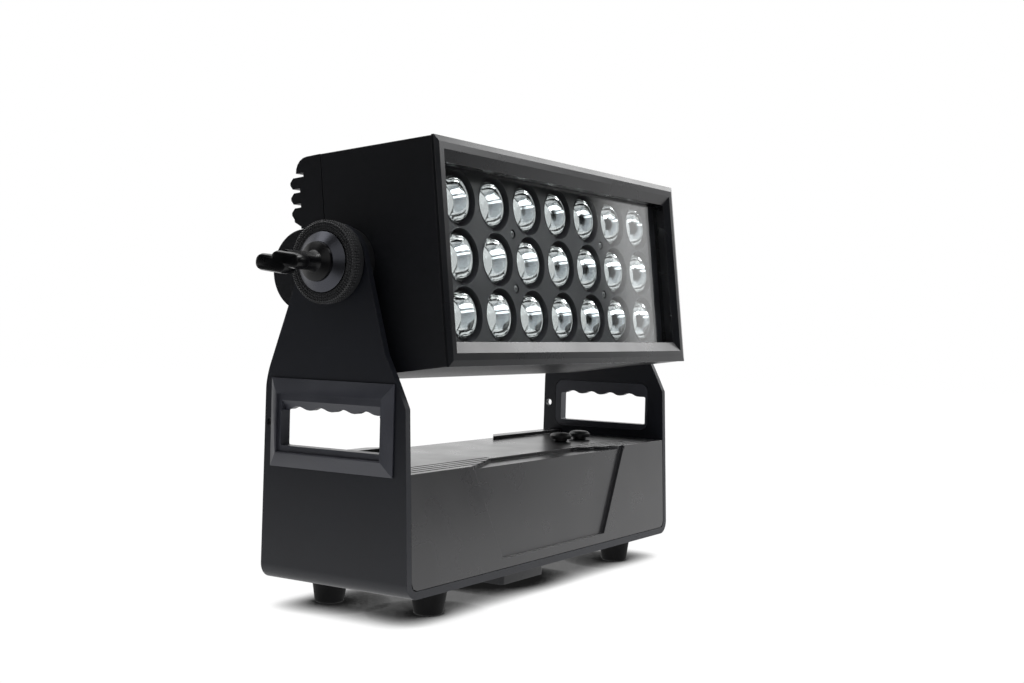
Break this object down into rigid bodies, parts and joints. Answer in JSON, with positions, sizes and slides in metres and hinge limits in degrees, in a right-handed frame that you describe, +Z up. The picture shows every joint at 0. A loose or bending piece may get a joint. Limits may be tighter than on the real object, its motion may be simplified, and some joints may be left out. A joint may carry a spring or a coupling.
{
  "type": "stage wash light",
  "caption": "Wide LED wash light: a tilting box head with rows of round lenses, held between the arms of a U-shaped floor base with scalloped hand grips and wing clamp knobs.",
  "frame": {"origin": "centre of the bounding box in plan, at the bottom of the feet", "axes": "+X along the length, from the left arm to the right arm seen from the front; the lenses face -Y; +Z up"},
  "size_m": [0.515, 0.1622, 0.3393],
  "materials": {
    "powder_coat": "aluminium with a fine-textured black powder coat",
    "satin_paint": "aluminium with satin dark grey paint",
    "handle_plastic": "moulded, light texture",
    "black_plastic": "moulded, satin",
    "knob_plastic": "glossy",
    "black_rubber": "matt",
    "satin_aluminium": "turned satin",
    "steel": "plated",
    "supply_case": "perforated sheet case",
    "circuit_board": "solder mask",
    "led_board": "white coated metal-core board",
    "lens_acrylic": "clear moulded",
    "front_glass": "clear",
    "screen": "dark window"
  },
  "bodies": {
    "base": {"yoke_frame": "powder_coat", "base_cover": "satin_paint", "rear_panel": "satin_paint", "display_window": "screen", "power_inlet": "black_plastic", "data_input": "steel", "data_output": "steel", "power_supply": "supply_case", "control_board": "circuit_board", "lock_block": "powder_coat", "vent_cap_inner": "black_plastic", "vent_cap_outer": "black_plastic", "foot_front_left": "black_rubber", "foot_front_right": "black_rubber", "foot_rear_left": "black_rubber", "foot_rear_right": "black_rubber", "handle_insert_left": "handle_plastic", "handle_insert_right": "handle_plastic", "friction_disc_left": "black_plastic", "friction_disc_right": "black_plastic", "clamp_ring_left": "black_rubber", "clamp_ring_right": "black_rubber", "cone_washer_left": "satin_aluminium", "cone_washer_right": "satin_aluminium"},
    "head": {"head_body": "powder_coat", "front_bezel": "satin_paint", "front_glass": "front_glass", "lens_mask": "black_plastic", "led_board": "led_board", "rear_heat_sink": "powder_coat", "driver_housing": "powder_coat", "pivot_bolt_left": "steel", "pivot_bolt_right": "steel", "lens_r1_c1": "lens_acrylic", "lens_r1_c2": "lens_acrylic", "lens_r1_c3": "lens_acrylic", "lens_r1_c4": "lens_acrylic", "lens_r1_c5": "lens_acrylic", "lens_r1_c6": "lens_acrylic", "lens_r1_c7": "lens_acrylic", "lens_r2_c1": "lens_acrylic", "lens_r2_c2": "lens_acrylic", "lens_r2_c3": "lens_acrylic", "lens_r2_c4": "lens_acrylic", "lens_r2_c5": "lens_acrylic", "lens_r2_c6": "lens_acrylic", "lens_r2_c7": "lens_acrylic", "lens_r3_c1": "lens_acrylic", "lens_r3_c2": "lens_acrylic", "lens_r3_c3": "lens_acrylic", "lens_r3_c4": "lens_acrylic", "lens_r3_c5": "lens_acrylic", "lens_r3_c6": "lens_acrylic", "lens_r3_c7": "lens_acrylic"},
    "clamp_knob_left": {"clamp_knob_left": "knob_plastic"},
    "clamp_knob_right": {"clamp_knob_right": "knob_plastic"},
    "button_1": {"button_1": "black_rubber"},
    "button_2": {"button_2": "black_rubber"},
    "button_3": {"button_3": "black_rubber"},
    "button_4": {"button_4": "black_rubber"}
  },
  "joints": [
    {"name": "head_tilt", "type": "hinge", "parent": "base", "child": "head", "pos_m": [0, 0.01136, 0.2507], "axis": [1, 0, 0], "range_deg": [-90, 95]},
    {"name": "clamp_knob_left_turn", "type": "hinge", "parent": "head", "child": "clamp_knob_left", "pos_m": [0, 0.01136, 0.2507], "axis": [1, 0, 0], "continuous": true},
    {"name": "clamp_knob_right_turn", "type": "hinge", "parent": "head", "child": "clamp_knob_right", "pos_m": [0, 0.01136, 0.2507], "axis": [1, 0, 0], "continuous": true},
    {"name": "button_1_press", "type": "slide", "parent": "base", "child": "button_1", "axis": [0, -1, 0], "range_m": [0, 0.002], "stiffness_N_per_m": 400, "springref_m": -0.001},
    {"name": "button_2_press", "type": "slide", "parent": "base", "child": "button_2", "axis": [0, -1, 0], "range_m": [0, 0.002], "stiffness_N_per_m": 400, "springref_m": -0.001},
    {"name": "button_3_press", "type": "slide", "parent": "base", "child": "button_3", "axis": [0, -1, 0], "range_m": [0, 0.002], "stiffness_N_per_m": 400, "springref_m": -0.001},
    {"name": "button_4_press", "type": "slide", "parent": "base", "child": "button_4", "axis": [0, -1, 0], "range_m": [0, 0.002], "stiffness_N_per_m": 400, "springref_m": -0.001}
  ]
}
